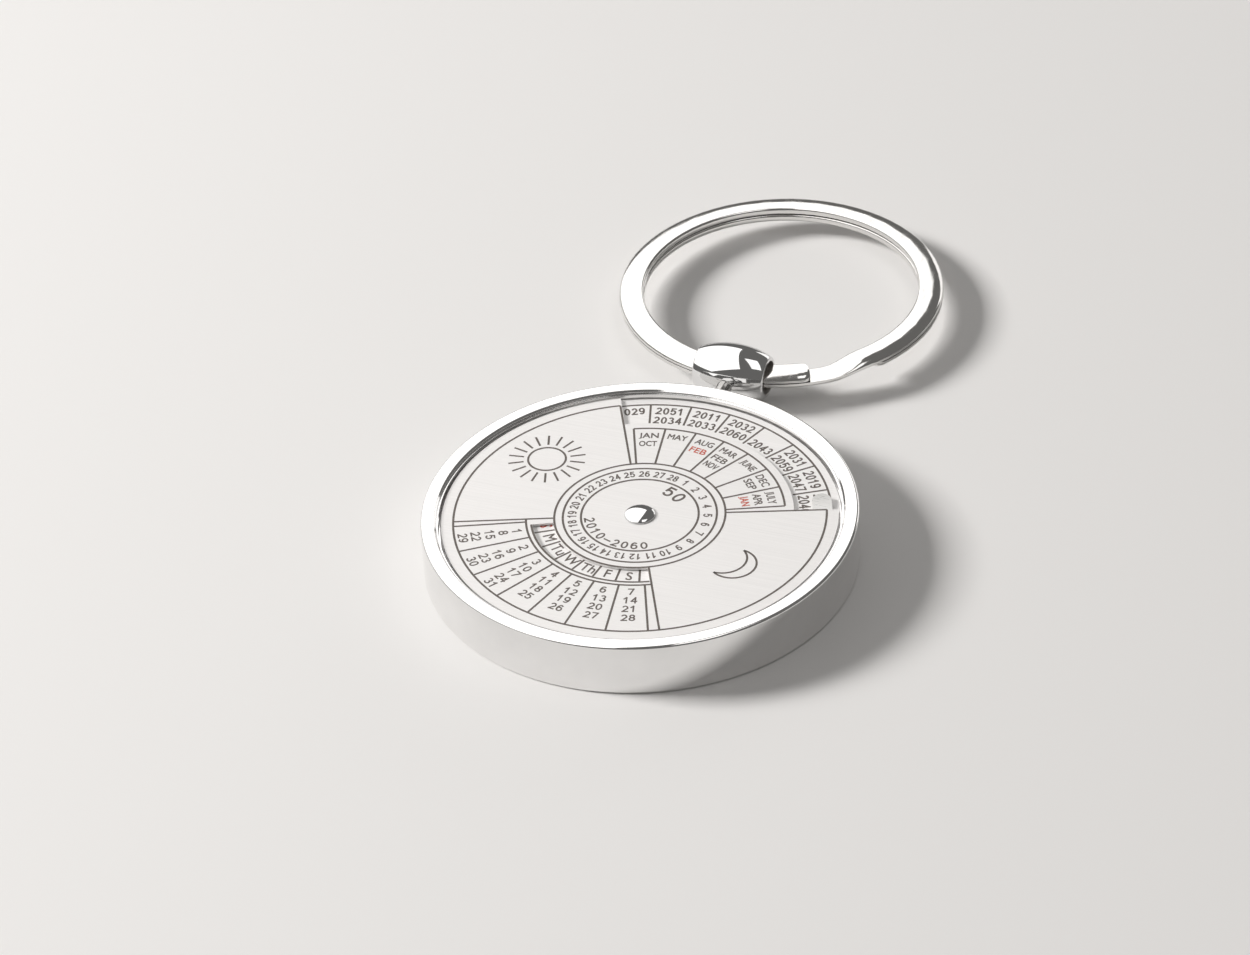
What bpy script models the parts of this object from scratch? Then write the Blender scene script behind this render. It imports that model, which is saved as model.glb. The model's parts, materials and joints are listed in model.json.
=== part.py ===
"""Perpetual calendar keyring: round case, calendar discs, olive bead and split ring.

Metres, +Z out of the dial, +Y from the case towards the split ring.
The origin is the centre of the flat back face.
"""
import math

import bpy
import bmesh
from mathutils import Matrix, Vector
from mathutils.geometry import tessellate_polygon

# Case
case_radius = 0.0205
case_edge_round = 0.00025
rim_width = 0.00145
rim_lip = 0.00020
rim_step = 0.00017
well_depth = 0.00114
floor_thickness = 0.00368
back_rim_width = 0.00160

# Year disc, fixed on the floor of the well
disc_thickness = 0.00035
disc_edge_gap = 0.00015
disc_seat_gap = 0.00002

# Friction washer between the two discs
washer_radius = 0.00260
washer_thickness = 0.00005
washer_gap = 0.000015

# Dial plate that turns over the year disc
plate_thickness = 0.00022
plate_edge_gap = 0.00025
notch_depth = 0.00420
notch_half_angle = math.radians(48.2)
window_inner_radius = 0.00810
window_width = 0.00195
window_start_angle = math.radians(132.4)
window_end_angle = math.radians(222.5)
plate_turn = math.radians(-22.8)

# Thumb tab on the clockwise side of the notch
tab_edge_gap = 0.00062
tab_width = 0.00186
tab_length = 0.00215
tab_rise = 0.00028
tab_corner_share = 0.62

# Centre rivet
rivet_head_radius = 0.00150
rivet_head_height = 0.00038
rivet_head_edge = 0.00004
rivet_head_gap = 0.00004
rivet_shank_radius = 0.00072
rivet_running_gap = 0.00008
rivet_tail_radius = 0.00160
rivet_tail_thickness = 0.00034
rivet_tail_low_share = 0.80
rivet_tail_gap = 0.00003

# Washer under the rivet tail, in a recess of its own
tail_washer_radius = 0.00260
tail_washer_thickness = 0.00040
tail_washer_gap = 0.00003
tail_recess_side_gap = 0.00040
tail_recess_room = 0.00105

# Back plate
back_plate_thickness = 0.00050
back_plate_bevel = 0.00006
back_plate_edge_gap = 0.00018
back_plate_seat_gap = 0.00005

# Olive bead
bead_reach = 0.00607
bead_half_length = 0.00360
bead_radius = 0.00282
bead_hole_gap = 0.00024
bead_end_wall = 0.00034
bead_end_round = 0.00010

# Swivel pin, its head in a pocket of the case and its shank in the bead
pin_shank_radius = 0.00075
pin_running_gap = 0.00008
pin_head_radius = 0.00098
pin_head_length = 0.00070
pin_head_bevel = 0.00012
pin_head_gap = 0.00012
pin_head_cover = 0.00038
pin_tip_gap = 0.00012
pin_socket_wall = 0.00028
pocket_edge_gap = 0.00045
pocket_side_gap = 0.00055
pocket_floor_gap = 0.00035
pocket_end_room = 0.00110

# Split ring, two turns of one flat band
ring_mean_radius = 0.01479
band_width = 0.00242
coil_thickness = 0.00072
coil_gap = 0.00008
band_drop = 0.00045
band_drop_width = 0.00120
band_edge_round = 0.00022
band_end_round = 0.00060
band_end_step_shares = (0.0, 0.17, 0.42, 1.0)
band_shift = 0.00030
free_end_angle = math.radians(29.2)
jog_low_angle = math.radians(36.0)
jog_high_angle = math.radians(51.0)
inner_end_angle = math.radians(55.0)
ring_droop = math.radians(-1.0)

# One overrun for every cut
overrun = 0.00100

# Facets
case_facets = 96
small_facets = 32
bead_facets = 64
arc_steps = 5
dome_steps = 8
bead_steps = 16
ring_step_angle = math.radians(5.0)
jog_step_angle = math.radians(2.0)
drop_steps = 5
round_steps = 3
merge_distance = 0.0000005
smooth_angle = math.radians(35.0)

# Sizes that follow from the ones above
rim_inner_radius = case_radius - rim_width
well_radius = rim_inner_radius - rim_lip
back_recess_radius = case_radius - back_rim_width
back_recess_depth = back_plate_thickness + back_plate_seat_gap
back_plate_radius = back_recess_radius - back_plate_edge_gap
floor_height = back_recess_depth + floor_thickness
case_height = floor_height + well_depth
link_height = floor_height - pin_head_radius - pin_head_cover
disc_bottom = floor_height + disc_seat_gap
disc_top = disc_bottom + disc_thickness
plate_bottom = disc_top + washer_thickness + 2.0 * washer_gap
plate_top = plate_bottom + plate_thickness
disc_radius = well_radius - disc_edge_gap
plate_radius = well_radius - plate_edge_gap
notch_inner_radius = plate_radius - notch_depth
window_outer_radius = window_inner_radius + window_width
tab_outer_radius = plate_radius - tab_edge_gap
tab_inner_radius = tab_outer_radius - tab_width
rivet_hole_radius = rivet_shank_radius + rivet_running_gap
tail_recess_radius = tail_washer_radius + tail_recess_side_gap
tail_recess_depth = back_recess_depth + tail_recess_room
bead_distance = case_radius + bead_reach
bead_hole_radius = math.hypot(band_width / 2.0, coil_thickness + coil_gap / 2.0) + bead_hole_gap
bead_end_radius = bead_hole_radius + bead_end_wall
pin_bore_radius = pin_shank_radius + pin_running_gap
pin_socket_end = bead_hole_radius + pin_socket_wall
pocket_outer_radius = well_radius - pocket_edge_gap
pocket_half_width = pin_head_radius + pocket_side_gap
pocket_length = pin_head_length + pocket_end_room
pocket_floor_height = link_height - pin_head_radius - pocket_floor_gap


def clear_scene():
    for item in list(bpy.data.objects):
        bpy.data.objects.remove(item, do_unlink=True)
    for mesh in list(bpy.data.meshes):
        bpy.data.meshes.remove(mesh)


def make_material(name, color, roughness, metallic):
    material = bpy.data.materials.new(name)
    material.use_nodes = True
    shader = material.node_tree.nodes["Principled BSDF"]
    shader.inputs["Base Color"].default_value = (color[0], color[1], color[2], 1.0)
    shader.inputs["Roughness"].default_value = roughness
    shader.inputs["Metallic"].default_value = metallic
    material.diffuse_color = (color[0], color[1], color[2], 1.0)
    return material


def chrome():
    return make_material("chrome", (0.86, 0.86, 0.87), 0.08, 1.0)


def ring_chrome():
    return make_material("ring_chrome", (0.84, 0.83, 0.82), 0.12, 1.0)


def brushed_dial():
    return make_material("brushed_dial", (0.80, 0.78, 0.77), 0.34, 0.9)


def brushed_disc():
    return make_material("brushed_disc", (0.83, 0.82, 0.81), 0.36, 0.9)


def brushed_back():
    return make_material("brushed_back", (0.74, 0.73, 0.72), 0.30, 1.0)


def plain_steel():
    return make_material("plain_steel", (0.62, 0.61, 0.60), 0.38, 1.0)


def friction_plastic():
    return make_material("friction_plastic", (0.78, 0.77, 0.73), 0.55, 0.0)


def finish_mesh(name, bm, material):
    # Welds, turns the faces outward and shades round faces smooth
    bmesh.ops.remove_doubles(bm, verts=bm.verts, dist=merge_distance)
    bmesh.ops.recalc_face_normals(bm, faces=bm.faces)
    mesh = bpy.data.meshes.new(name)
    bm.to_mesh(mesh)
    bm.free()
    mesh.materials.append(material)
    mesh.shade_smooth()
    mesh.set_sharp_from_angle(angle=smooth_angle)
    item = bpy.data.objects.new(name, mesh)
    bpy.context.scene.collection.objects.link(item)
    return item


def revolve(name, profile, facets, material, turn=None, closed=True):
    # Turns a profile of (radius, height) points about Z
    # An open profile starts and ends on the axis
    bm = bmesh.new()
    rows = []
    for radius, height in profile:
        if radius < merge_distance:
            rows.append([bm.verts.new((0.0, 0.0, height))])
            continue
        row = []
        for index in range(facets):
            angle = math.tau * index / facets
            row.append(bm.verts.new((radius * math.cos(angle), radius * math.sin(angle), height)))
        rows.append(row)
    count = len(rows)
    last = count if closed else count - 1
    for index in range(last):
        join_rows(bm, rows[index], rows[(index + 1) % count], facets)
    if turn is not None:
        bmesh.ops.transform(bm, matrix=turn, verts=bm.verts)
    return finish_mesh(name, bm, material)


def join_rows(bm, first, second, facets):
    for index in range(facets):
        after = (index + 1) % facets
        if len(first) == 1:
            bm.faces.new((first[0], second[index], second[after]))
        elif len(second) == 1:
            bm.faces.new((first[index], second[0], first[after]))
        else:
            bm.faces.new((first[index], second[index], second[after], first[after]))


def arc(center_r, center_z, radius, start, end, steps):
    points = []
    for index in range(steps + 1):
        angle = start + (end - start) * index / steps
        points.append((center_r + radius * math.cos(angle), center_z + radius * math.sin(angle)))
    return points


def add_cut(item, cutter):
    cutter.hide_render = True
    cutter.display_type = "WIRE"
    change = item.modifiers.new("cut_" + cutter.name, "BOOLEAN")
    change.operation = "DIFFERENCE"
    change.solver = "EXACT"
    change.object = cutter


def along_y():
    # Turns a shape built about Z so that its height runs along +Y
    return Matrix.Rotation(-math.pi / 2.0, 4, "X")


def along_x():
    # Turns a shape built about Z so that its height runs along +X
    return Matrix.Rotation(math.pi / 2.0, 4, "Y")


def case_profile():
    side = case_radius - case_edge_round
    profile = [(rivet_hole_radius, floor_height)]
    profile.append((well_radius, floor_height))
    profile.append((well_radius, case_height - 2.0 * rim_step))
    profile.append((rim_inner_radius, case_height - 2.0 * rim_step))
    profile.append((rim_inner_radius, case_height - rim_step))
    profile.append((rim_inner_radius + rim_step, case_height))
    profile += arc(side, case_height - case_edge_round, case_edge_round, math.pi / 2.0, 0.0, arc_steps)
    profile += arc(side, case_edge_round, case_edge_round, 0.0, -math.pi / 2.0, arc_steps)
    profile.append((back_recess_radius, 0.0))
    profile.append((back_recess_radius, back_recess_depth))
    profile.append((tail_recess_radius, back_recess_depth))
    profile.append((tail_recess_radius, tail_recess_depth))
    profile.append((rivet_hole_radius, tail_recess_depth))
    return profile


def pocket_cutter(material):
    # Pocket in the floor that takes the head of the swivel pin
    bm = bmesh.new()
    bmesh.ops.create_cube(bm, size=1.0)
    top = floor_height + overrun
    size = (2.0 * pocket_half_width, pocket_length, top - pocket_floor_height)
    center = (0.0, pocket_outer_radius - pocket_length / 2.0, (top + pocket_floor_height) / 2.0)
    bmesh.ops.scale(bm, vec=size, verts=bm.verts)
    bmesh.ops.translate(bm, vec=center, verts=bm.verts)
    return finish_mesh("pocket_cutter", bm, material)


def bore_cutter(material):
    start = pocket_outer_radius - pocket_length / 2.0
    end = case_radius + overrun
    profile = [(0.0, start), (pin_bore_radius, start), (pin_bore_radius, end), (0.0, end)]
    cutter = revolve("bore_cutter", profile, small_facets, material, along_y(), closed=False)
    cutter.location = (0.0, 0.0, link_height)
    return cutter


def build_case():
    material = chrome()
    case = revolve("calendar_case", case_profile(), case_facets, material)
    add_cut(case, pocket_cutter(material))
    add_cut(case, bore_cutter(material))
    return case


def ring_profile(inner, outer, low, high):
    return [(inner, low), (outer, low), (outer, high), (inner, high)]


def build_year_disc():
    profile = ring_profile(rivet_hole_radius, disc_radius, disc_bottom, disc_top)
    return revolve("year_disc", profile, case_facets, brushed_disc())


def build_friction_washer():
    low = disc_top + washer_gap
    profile = ring_profile(rivet_hole_radius, washer_radius, low, low + washer_thickness)
    return revolve("friction_washer", profile, small_facets, friction_plastic())


def polar(radius, angle):
    # The angle runs clockwise from +Y, as seen from the front
    return (radius * math.sin(angle), radius * math.cos(angle))


def polar_arc(radius, start, end, step):
    count = max(1, math.ceil(abs(end - start) / step))
    return [polar(radius, start + (end - start) * index / count) for index in range(count + 1)]


def plate_outline():
    # Outer edge, then the two sides and the floor of the year notch
    step = math.tau / case_facets
    points = polar_arc(plate_radius, notch_half_angle, math.tau - notch_half_angle, step)
    points += polar_arc(notch_inner_radius, -notch_half_angle, notch_half_angle, step)
    points.append(polar(tab_inner_radius, notch_half_angle))
    points.append(polar(tab_outer_radius, notch_half_angle))
    return points


def window_outline():
    step = math.tau / case_facets
    points = polar_arc(window_inner_radius, window_start_angle, window_end_angle, step)
    points += polar_arc(window_outer_radius, window_end_angle, window_start_angle, step)
    return points


def center_outline():
    return [polar(rivet_hole_radius, math.tau * index / small_facets) for index in range(small_facets)]


def add_region(bm, loops, low, high):
    # Fills flat loops at two heights
    flat = [Vector((x, y, 0.0)) for loop in loops for x, y in loop]
    rings = [[Vector((x, y, 0.0)) for x, y in loop] for loop in loops]
    lower = [bm.verts.new((point.x, point.y, low)) for point in flat]
    upper = [bm.verts.new((point.x, point.y, high)) for point in flat]
    for a, b, c in tessellate_polygon(rings):
        bm.faces.new((lower[a], lower[b], lower[c]))
        bm.faces.new((upper[a], upper[b], upper[c]))
    first = 0
    for loop in loops:
        add_walls(bm, lower, upper, first, len(loop))
        first += len(loop)


def add_walls(bm, lower, upper, first, count):
    for index in range(count):
        here = first + index
        after = first + (index + 1) % count
        bm.faces.new((lower[here], lower[after], upper[after], upper[here]))


def tab_rows():
    # Rows across the tab from its root to its rounded end
    rows = []
    count = arc_steps + arc_steps
    middle = (tab_inner_radius + tab_outer_radius) / 2.0
    half = (tab_outer_radius - tab_inner_radius) / 2.0
    for index in range(count + 1):
        share = index / count
        reach = tab_length * math.sin(share * math.pi / 2.0)
        past = max(0.0, (reach / tab_length - tab_corner_share) / (1.0 - tab_corner_share))
        width = half * math.sqrt(max(0.0, 1.0 - past * past))
        lift = tab_rise * (reach / tab_length) ** 2.0
        angle = notch_half_angle - reach / middle
        rows.append((middle - width, middle + width, angle, lift))
    return rows


def add_tab(bm):
    # Bent-up tab that continues the plate into the notch
    previous = None
    for inner, outer, angle, lift in tab_rows():
        corners = []
        if outer - inner < merge_distance:
            spots = [(inner, plate_bottom), (inner, plate_top)]
        else:
            spots = ring_profile(inner, outer, plate_bottom, plate_top)
        for radius, height in spots:
            x, y = polar(radius, angle)
            corners.append(bm.verts.new((x, y, height + lift)))
        if previous is not None:
            join_tab_rows(bm, previous, corners)
        previous = corners


def join_tab_rows(bm, previous, corners):
    if len(corners) == 2:
        low, high = corners
        bm.faces.new((previous[0], previous[1], low))
        bm.faces.new((previous[1], previous[2], high, low))
        bm.faces.new((previous[2], previous[3], high))
        bm.faces.new((previous[3], previous[0], low, high))
        return
    for index in range(4):
        after = (index + 1) % 4
        bm.faces.new((previous[index], previous[after], corners[after], corners[index]))


def drop_inner_walls(bm):
    # Removes the two walls that meet where the tab joins the plate
    bmesh.ops.remove_doubles(bm, verts=bm.verts, dist=merge_distance)
    spots = []
    for radius in (tab_inner_radius, tab_outer_radius):
        x, y = polar(radius, notch_half_angle)
        spots.append(Vector((x, y)))
    doomed = []
    for face in bm.faces:
        flat = [vert.co.xy for vert in face.verts]
        if all(min((point - spot).length for spot in spots) < 2.0 * merge_distance for point in flat):
            doomed.append(face)
    bmesh.ops.delete(bm, geom=doomed, context="FACES_ONLY")


def build_dial_plate():
    bm = bmesh.new()
    loops = [plate_outline(), window_outline(), center_outline()]
    add_region(bm, loops, plate_bottom, plate_top)
    add_tab(bm)
    drop_inner_walls(bm)
    plate = finish_mesh("dial_plate", bm, brushed_dial())
    plate.rotation_euler = (0.0, 0.0, plate_turn)
    return plate


def dome(radius, height, low):
    # Low cap with a flattened top, from its edge to its top
    points = []
    for index in range(dome_steps + 1):
        angle = math.pi / 2.0 * (1.0 - index / dome_steps)
        points.append((radius * math.sin(angle), low + height * math.cos(angle)))
    return points


def build_center_rivet():
    head_low = plate_top + rivet_head_gap
    washer_low = tail_recess_depth - tail_washer_gap - tail_washer_thickness
    tail_high = washer_low - rivet_tail_gap
    tail_low = tail_high - rivet_tail_thickness
    profile = [(0.0, tail_low), (rivet_tail_radius * rivet_tail_low_share, tail_low)]
    profile.append((rivet_tail_radius, (tail_low + tail_high) / 2.0))
    profile.append((rivet_tail_radius, tail_high))
    profile.append((rivet_shank_radius, tail_high))
    profile.append((rivet_shank_radius, head_low))
    profile.append((rivet_head_radius, head_low))
    profile += dome(rivet_head_radius, rivet_head_height, head_low + rivet_head_edge)
    return revolve("center_rivet", profile, small_facets, chrome(), closed=False)


def build_tail_washer():
    high = tail_recess_depth - tail_washer_gap
    low = high - tail_washer_thickness
    profile = ring_profile(rivet_hole_radius, tail_washer_radius, low, high)
    return revolve("rivet_washer", profile, small_facets, plain_steel())


def build_back_plate():
    edge = back_plate_radius - back_plate_bevel
    profile = [(0.0, 0.0), (edge, 0.0), (back_plate_radius, back_plate_bevel)]
    profile.append((back_plate_radius, back_plate_thickness))
    profile.append((0.0, back_plate_thickness))
    return revolve("back_plate", profile, case_facets, brushed_back(), closed=False)


def bead_outline():
    # Half outline of the barrel from one end to the other
    ratio = bead_end_radius / bead_radius
    stretch = bead_half_length / math.sqrt(1.0 - ratio * ratio)
    points = []
    for index in range(bead_steps + 1):
        along = bead_half_length * (2.0 * index / bead_steps - 1.0)
        radius = bead_radius * math.sqrt(1.0 - (along / stretch) ** 2.0)
        points.append((radius, along))
    return points


def bead_body(material):
    profile = [(0.0, -bead_half_length), (bead_end_radius - bead_end_round, -bead_half_length)]
    profile += bead_outline()[1:-1]
    profile.append((bead_end_radius - bead_end_round, bead_half_length))
    profile.append((0.0, bead_half_length))
    return revolve("ring_bead", profile, bead_facets, material, along_x(), closed=False)


def hole_cutter(material):
    reach = bead_half_length + overrun
    profile = [(0.0, -reach), (bead_hole_radius, -reach), (bead_hole_radius, reach), (0.0, reach)]
    return revolve("hole_cutter", profile, bead_facets, material, along_x(), closed=False)


def socket_cutter(material):
    start = -bead_radius - overrun
    end = -pin_socket_end
    profile = [(0.0, start), (pin_bore_radius, start), (pin_bore_radius, end), (0.0, end)]
    return revolve("socket_cutter", profile, small_facets, material, along_y(), closed=False)


def build_bead(pivot):
    material = chrome()
    bead = bead_body(material)
    hole = hole_cutter(material)
    socket = socket_cutter(material)
    add_cut(bead, hole)
    add_cut(bead, socket)
    for item in (bead, hole, socket):
        item.parent = pivot
    return bead


def build_swivel_pin(pivot):
    # The head sits in the pocket, the shank runs out into the bead
    head_end = pocket_outer_radius - pin_head_gap - bead_distance
    head_start = head_end - pin_head_length
    tip = -pin_socket_end - pin_tip_gap
    profile = [(0.0, head_start), (pin_head_radius - pin_head_bevel, head_start)]
    profile.append((pin_head_radius, head_start + pin_head_bevel))
    profile.append((pin_head_radius, head_end))
    profile.append((pin_shank_radius, head_end))
    profile.append((pin_shank_radius, tip))
    profile.append((0.0, tip))
    pin = revolve("swivel_pin", profile, small_facets, plain_steel(), along_y(), closed=False)
    pin.parent = pivot
    return pin


def band_section(top_share, width_scale):
    # Section of one coil as (outward, upward) points
    # The coil that shows has its outer edge rounded down, the other one up
    half = band_width / 2.0
    tall = coil_thickness / 2.0
    start = half - band_drop_width
    bottom_share = 1.0 - top_share
    upper = []
    lower = []
    for index in range(drop_steps + 1):
        share = index / drop_steps
        out = start + band_drop_width * math.sin(share * math.pi / 2.0)
        fall = band_drop * (1.0 - math.cos(share * math.pi / 2.0))
        upper.append((out, tall - top_share * fall))
        lower.append((out, -tall + bottom_share * fall))
    inner = -half + band_edge_round
    level = tall - band_edge_round
    points = arc(inner, -level, band_edge_round, math.pi, math.pi + math.pi / 2.0, round_steps)
    points += lower
    points += reversed(upper)
    points += arc(inner, level, band_edge_round, math.pi / 2.0, math.pi, round_steps)
    return [(out * width_scale, up) for out, up in points]


def smooth_step(share):
    share = min(1.0, max(0.0, share))
    return share * share * (3.0 - 2.0 * share)


def band_state(travel):
    # Height and top share after a given travel from the free end
    # The upper turn drops to the lower level in the jog
    jog_start = math.tau - (jog_high_angle - free_end_angle)
    jog_end = math.tau - (jog_low_angle - free_end_angle)
    share = 1.0 - smooth_step((travel - jog_start) / (jog_end - jog_start))
    level = (coil_thickness + coil_gap) / 2.0
    return level * (2.0 * share - 1.0), share


def end_narrowing(distance):
    # Narrows the band at its rounded ends
    reach = min(1.0, max(0.0, distance / band_end_round))
    narrow = band_end_round * (1.0 - math.sqrt(1.0 - (1.0 - reach) ** 2.0))
    return 1.0 - 2.0 * narrow / band_width


def band_travels():
    total = math.tau + math.tau - (inner_end_angle - free_end_angle)
    jog_start = math.tau - (jog_high_angle - free_end_angle)
    jog_end = math.tau - (jog_low_angle - free_end_angle)
    end_reach = band_end_round / ring_mean_radius
    travels = [share * end_reach for share in band_end_step_shares]
    travels += [total - share * end_reach for share in band_end_step_shares]
    count = math.floor(total / ring_step_angle)
    for index in range(1, count + 1):
        travel = index * ring_step_angle
        if end_reach < travel < total - end_reach:
            travels.append(travel)
    steps = math.ceil((jog_end - jog_start) / jog_step_angle)
    for index in range(steps + 1):
        travels.append(jog_start + (jog_end - jog_start) * index / steps)
    return spread(sorted(travels))


def spread(travels):
    # Drops steps that lie almost on top of each other
    kept = [travels[0]]
    for travel in travels[1:]:
        if travel - kept[-1] > merge_distance / case_radius:
            kept.append(travel)
    return kept


def build_split_ring(pivot):
    bm = bmesh.new()
    travels = band_travels()
    total = travels[-1]
    rows = []
    for travel in travels:
        height, top_share = band_state(travel)
        distance = min(travel, total - travel) * ring_mean_radius
        rows.append(band_row(bm, travel, height, band_section(top_share, end_narrowing(distance))))
    for first, second in zip(rows, rows[1:]):
        count = len(first)
        for index in range(count):
            after = (index + 1) % count
            bm.faces.new((first[index], first[after], second[after], second[index]))
    bm.faces.new(rows[0])
    bm.faces.new(list(reversed(rows[-1])))
    bmesh.ops.triangulate(bm, faces=[face for face in bm.faces if len(face.verts) > 4])
    ring = finish_mesh("split_ring", bm, ring_chrome())
    ring.parent = pivot
    return ring


def band_row(bm, travel, height, section):
    # The angle is measured from the bead side towards +X
    angle = free_end_angle - travel
    row = []
    for out, up in section:
        radius = ring_mean_radius + out
        x = radius * math.sin(angle)
        y = ring_mean_radius - band_shift - radius * math.cos(angle)
        row.append(bm.verts.new((x, y, height + up)))
    return row


def make_pivot(name, location):
    pivot = bpy.data.objects.new(name, None)
    pivot.location = location
    pivot.empty_display_size = bead_radius
    bpy.context.scene.collection.objects.link(pivot)
    return pivot


def build():
    clear_scene()
    build_case()
    build_year_disc()
    build_friction_washer()
    build_dial_plate()
    build_center_rivet()
    build_tail_washer()
    build_back_plate()
    link = make_pivot("bead_pivot", (0.0, bead_distance, link_height))
    swing = make_pivot("ring_pivot", (0.0, 0.0, 0.0))
    swing.parent = link
    swing.rotation_euler = (ring_droop, 0.0, 0.0)
    build_swivel_pin(link)
    build_bead(link)
    build_split_ring(swing)


build()
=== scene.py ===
"""Looks of the perpetual calendar keyring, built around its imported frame.

Metres, +Z out of the dial, +Y from the case towards the split ring.
"""
import calendar
import json
import math

import bpy
import bmesh
from mathutils import Matrix, Vector

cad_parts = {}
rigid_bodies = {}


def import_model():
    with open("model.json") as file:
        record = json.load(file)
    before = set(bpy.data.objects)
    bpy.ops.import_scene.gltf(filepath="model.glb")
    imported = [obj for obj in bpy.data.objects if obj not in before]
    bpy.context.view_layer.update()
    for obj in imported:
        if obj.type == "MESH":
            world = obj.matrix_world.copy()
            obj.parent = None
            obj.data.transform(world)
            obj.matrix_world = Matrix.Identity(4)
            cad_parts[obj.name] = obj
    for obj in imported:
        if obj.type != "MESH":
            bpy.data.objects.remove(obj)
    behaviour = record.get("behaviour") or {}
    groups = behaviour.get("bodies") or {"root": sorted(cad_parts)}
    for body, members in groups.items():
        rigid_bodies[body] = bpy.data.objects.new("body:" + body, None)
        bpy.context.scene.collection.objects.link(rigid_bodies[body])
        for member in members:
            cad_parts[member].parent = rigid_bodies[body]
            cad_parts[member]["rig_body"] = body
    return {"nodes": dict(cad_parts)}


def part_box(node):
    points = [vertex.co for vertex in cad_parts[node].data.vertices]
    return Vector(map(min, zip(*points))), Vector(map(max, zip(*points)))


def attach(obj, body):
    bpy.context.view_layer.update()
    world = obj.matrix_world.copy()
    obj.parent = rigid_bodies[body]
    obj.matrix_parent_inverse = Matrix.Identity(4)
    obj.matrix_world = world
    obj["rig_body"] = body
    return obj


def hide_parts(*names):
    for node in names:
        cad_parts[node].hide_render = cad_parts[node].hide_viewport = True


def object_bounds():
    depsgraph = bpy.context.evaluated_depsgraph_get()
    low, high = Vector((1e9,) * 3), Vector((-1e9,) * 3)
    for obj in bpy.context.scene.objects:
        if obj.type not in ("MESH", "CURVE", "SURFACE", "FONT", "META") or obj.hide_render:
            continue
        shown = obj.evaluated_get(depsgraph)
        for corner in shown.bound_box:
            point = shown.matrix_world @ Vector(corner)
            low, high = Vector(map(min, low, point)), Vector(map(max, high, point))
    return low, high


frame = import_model()
cad_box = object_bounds()

MM = 0.001

# The photograph's camera, found from the dial's circles
PHOTO_WIDTH = 1250
FOCAL_PIXELS = 5883.0
SENSOR_WIDTH = 36.0
CAMERA_AZIMUTH = math.radians(21.9)
CAMERA_ELEVATION = math.radians(36.87)
CAMERA_ROLL = math.radians(-3.38)
CAMERA_DISTANCE = 548.8 * MM
CAMERA_RIGHT = -1.372 * MM
CAMERA_UP = 3.357 * MM
CAMERA_NEAR = 10.0 * MM
AIM_BELOW_RIM = 0.3 * MM

# Studio, in metres and watts; the key light's mirror image and its diffuse light are set apart
FLOOR_HALF_WIDTH = 1.5
FLOOR_COLOR = (0.86, 0.85, 0.84)
WORLD_COLOR = (1.0, 0.98, 0.95)
WORLD_STRENGTH = 0.15
LIGHT_COLOR = (1.0, 0.985, 0.97)
KEY_PLACE = (-0.354, 0.184, 0.476)
KEY_ALONG = (0.214, 0.968, -0.134)
KEY_WIDTH = 1.60
KEY_HEIGHT = 0.85

# Case
CASE_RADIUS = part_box("calendar_case")[1].x
CASE_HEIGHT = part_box("calendar_case")[1].z
CASE_EDGE_ROUND = 0.25 * MM
RIM_INNER_RADIUS = CASE_RADIUS - 1.45 * MM
RIM_STEP = 0.17 * MM
WELL_RADIUS = RIM_INNER_RADIUS - 0.20 * MM
FLOOR_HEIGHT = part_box("year_disc")[0].z - 0.02 * MM
CASE_CORNER = 0.04 * MM
RIVET_HOLE_RADIUS = 0.80 * MM
BACK_RECESS_RADIUS = CASE_RADIUS - 1.60 * MM
BACK_RECESS_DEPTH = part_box("back_plate")[1].z + 0.05 * MM
TAIL_RECESS_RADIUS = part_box("rivet_washer")[1].x + 0.40 * MM
TAIL_RECESS_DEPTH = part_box("rivet_washer")[1].z + 0.03 * MM

# Olive bead
BEAD_LOW, BEAD_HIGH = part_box("ring_bead")
BEAD_RADIUS = (BEAD_HIGH.z - BEAD_LOW.z) / 2.0
BEAD_HALF_LENGTH = (BEAD_HIGH.x - BEAD_LOW.x) / 2.0
BEAD_HOLE_RADIUS = 1.668 * MM
BEAD_END_RADIUS = BEAD_HOLE_RADIUS + 0.34 * MM
BEAD_LIP = 0.27 * MM
BEAD_INNER_LIP = 0.05 * MM

# Centre rivet
RIVET_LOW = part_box("center_rivet")[0].z
RIVET_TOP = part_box("center_rivet")[1].z
RIVET_HEAD_RADIUS = 1.45 * MM
RIVET_HEAD_HEIGHT = 0.38 * MM
RIVET_HEAD_EDGE = 0.04 * MM
RIVET_SHANK_RADIUS = 0.72 * MM
RIVET_TAIL_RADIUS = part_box("center_rivet")[1].x
RIVET_TAIL_THICKNESS = 0.34 * MM
RIVET_TAIL_ROUND = 0.15 * MM

# Fineness of turned and rounded faces
TURN_STEPS = 240
CORNER_STEPS = 6
CORNER_HOLD = 0.01 * MM
BARREL_STEPS = 40
DOME_STEPS = 20
SMOOTH_ANGLE = math.radians(40.0)
MERGE_DISTANCE = 0.0001 * MM

# Copies of nodes: how they are welded, and how their edges are softened
WELD_DISTANCE = 0.0005 * MM
FLAT_ANGLE = math.radians(0.5)
PLATE_EDGE = 0.03 * MM
BAND_EDGE = 0.05 * MM
EDGE_SEGMENTS = 2
FLAT_WEIGHT = 100

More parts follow.
